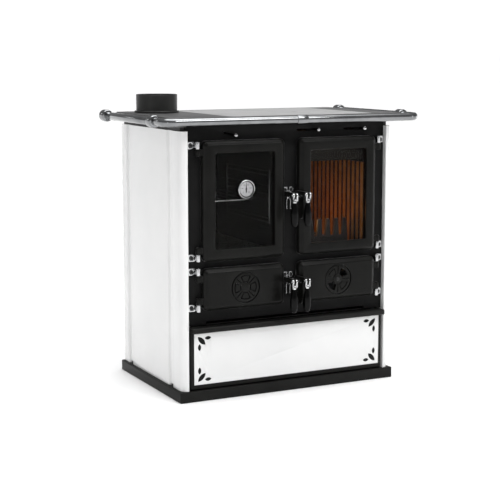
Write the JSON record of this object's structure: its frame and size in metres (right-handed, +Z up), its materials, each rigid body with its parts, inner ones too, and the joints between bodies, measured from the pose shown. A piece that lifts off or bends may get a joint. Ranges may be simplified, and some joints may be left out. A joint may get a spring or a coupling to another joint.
{
  "type": "wood cookstove",
  "caption": "Wood-burning kitchen cookstove with a glazed oven door and fire door, soot and ash doors, a wood drawer, a steel hob, a hand rail and a flue collar.",
  "frame": {"origin": "middle of the plinth underside, on the floor", "axes": "+Z up, front faces -Y, +X to the right seen from the front"},
  "size_m": [0.902, 0.5686, 0.918],
  "materials": {
    "white_enamel": "gloss white vitreous enamel on folded steel sheet",
    "black_paint": "satin black heat-resistant paint",
    "plate_iron": "matt black painted casting",
    "door_iron": "matt charcoal painted casting with a fine sand-cast grain",
    "hob_iron": "semi-gloss dark grey enamelled casting",
    "ground_steel": "finely ground steel",
    "carcass_steel": "black painted sheet steel",
    "zinc_steel": "zinc-coated sheet steel",
    "chrome": "polished chrome plate",
    "flue_enamel": "semi-gloss dark enamel",
    "oven_enamel": "gloss black vitreous enamel",
    "fire_steel": "heat-darkened steel",
    "grate_iron": "bare casting, heat darkened",
    "refractory": "warm brown refractory concrete",
    "door_glass": "clear ceramic glass",
    "rope_fibre": "woven glass-fibre rope",
    "grip_plastic": "gloss black moulded grip",
    "pointer_paint": "black painted metal"
  },
  "bodies": {
    "root": {"plinth": "black_paint", "side_panel_right": "white_enamel", "side_panel_left": "white_enamel", "carcass": "carcass_steel", "rear_panel": "zinc_steel", "front_plate": "plate_iron", "hob_frame": "hob_iron", "hob_plate": "ground_steel", "flue_collar": "flue_enamel", "rail_front": "chrome", "rail_side_right": "chrome", "rail_side_left": "chrome", "oven_box": "oven_enamel", "oven_rack_left": "chrome", "oven_rack_right": "chrome", "oven_shelf": "chrome", "firebox_casing": "fire_steel", "fire_liner": "refractory", "fire_grate": "grate_iron", "flame_deflector": "fire_steel", "ash_chamber": "fire_steel", "ash_pan": "zinc_steel", "soot_chamber": "fire_steel", "oven_hinge_top": "chrome", "oven_hinge_bottom": "chrome", "fire_hinge_top": "chrome", "fire_hinge_bottom": "chrome", "soot_hinge_top": "chrome", "soot_hinge_bottom": "chrome", "ash_hinge_top": "chrome", "ash_hinge_bottom": "chrome"},
    "oven_door": {"oven_door_frame": "door_iron", "oven_door_glass": "door_glass", "oven_door_rope": "rope_fibre", "thermometer_case": "chrome"},
    "fire_door": {"fire_door_frame": "door_iron", "fire_door_glass": "door_glass", "fire_door_rope": "rope_fibre"},
    "soot_door": {"soot_door": "door_iron"},
    "ash_door": {"ash_door": "door_iron", "register_screw": "chrome"},
    "oven_latch": {"oven_latch_lever": "chrome", "oven_latch_grip": "grip_plastic"},
    "fire_latch": {"fire_latch_lever": "chrome", "fire_latch_grip": "grip_plastic"},
    "soot_latch": {"soot_latch_lever": "chrome", "soot_latch_grip": "grip_plastic"},
    "ash_latch": {"ash_latch_lever": "chrome", "ash_latch_grip": "grip_plastic"},
    "thermometer_hand": {"thermometer_pointer": "pointer_paint"},
    "air_register": {"air_register": "door_iron"},
    "bypass": {"bypass_knob": "chrome"},
    "left_air": {"left_air_knob": "chrome"},
    "right_air": {"right_air_knob": "chrome"},
    "hob_ring": {"hob_ring": "ground_steel"},
    "hob_disc": {"hob_disc": "ground_steel"},
    "drawer": {"drawer_front": "black_paint", "drawer_panel": "white_enamel", "drawer_bar": "black_paint", "drawer_box": "zinc_steel"}
  },
  "joints": [
    {"name": "oven_door_hinge", "type": "hinge", "parent": "root", "child": "oven_door", "pos_m": [-0.3133, -0.242, 0.6085], "axis": [0, 0, -1], "range_deg": [0, 120]},
    {"name": "fire_door_hinge", "type": "hinge", "parent": "root", "child": "fire_door", "pos_m": [0.3133, -0.242, 0.6085], "axis": [0, 0, 1], "range_deg": [0, 120]},
    {"name": "soot_door_hinge", "type": "hinge", "parent": "root", "child": "soot_door", "pos_m": [-0.3133, -0.242, 0.3424], "axis": [0, 0, -1], "range_deg": [0, 120]},
    {"name": "ash_door_hinge", "type": "hinge", "parent": "root", "child": "ash_door", "pos_m": [0.3133, -0.242, 0.3424], "axis": [0, 0, 1], "range_deg": [0, 120]},
    {"name": "oven_latch_pivot", "type": "hinge", "parent": "oven_door", "child": "oven_latch", "pos_m": [-0.02245, -0.3086, 0.621], "axis": [-1, 0, 0], "range_deg": [0, 60]},
    {"name": "fire_latch_pivot", "type": "hinge", "parent": "fire_door", "child": "fire_latch", "pos_m": [0.02245, -0.3086, 0.621], "axis": [-1, 0, 0], "range_deg": [0, 60]},
    {"name": "soot_latch_pivot", "type": "hinge", "parent": "soot_door", "child": "soot_latch", "pos_m": [-0.02245, -0.3086, 0.356], "axis": [-1, 0, 0], "range_deg": [0, 60]},
    {"name": "ash_latch_pivot", "type": "hinge", "parent": "ash_door", "child": "ash_latch", "pos_m": [0.02245, -0.3086, 0.356], "axis": [-1, 0, 0], "range_deg": [0, 60]},
    {"name": "thermometer_hand_turn", "type": "hinge", "parent": "oven_door", "child": "thermometer_hand", "pos_m": [-0.1624, -0.2621, 0.643], "axis": [0, 1, 0], "range_deg": [0, 250]},
    {"name": "air_register_turn", "type": "hinge", "parent": "ash_door", "child": "air_register", "pos_m": [0.1624, -0.2545, 0.3424], "axis": [0, 1, 0], "range_deg": [0, 90]},
    {"name": "bypass_slide", "type": "slide", "parent": "root", "child": "bypass", "axis": [-0.9701, 0, 0.2425], "range_m": [0, 0.028]},
    {"name": "left_air_slide", "type": "slide", "parent": "root", "child": "left_air", "axis": [-1, 0, 0], "range_m": [0, 0.06]},
    {"name": "right_air_slide", "type": "slide", "parent": "root", "child": "right_air", "axis": [-1, 0, 0], "range_m": [0, 0.06]},
    {"name": "hob_ring_lift", "type": "slide", "parent": "root", "child": "hob_ring", "axis": [0, 0, 1], "range_m": [0, 0.12]},
    {"name": "hob_disc_lift", "type": "slide", "parent": "hob_ring", "child": "hob_disc", "axis": [0, 0, 1], "range_m": [0, 0.12]},
    {"name": "drawer_slide", "type": "slide", "parent": "root", "child": "drawer", "axis": [0, -1, 0], "range_m": [0, 0.36]}
  ]
}
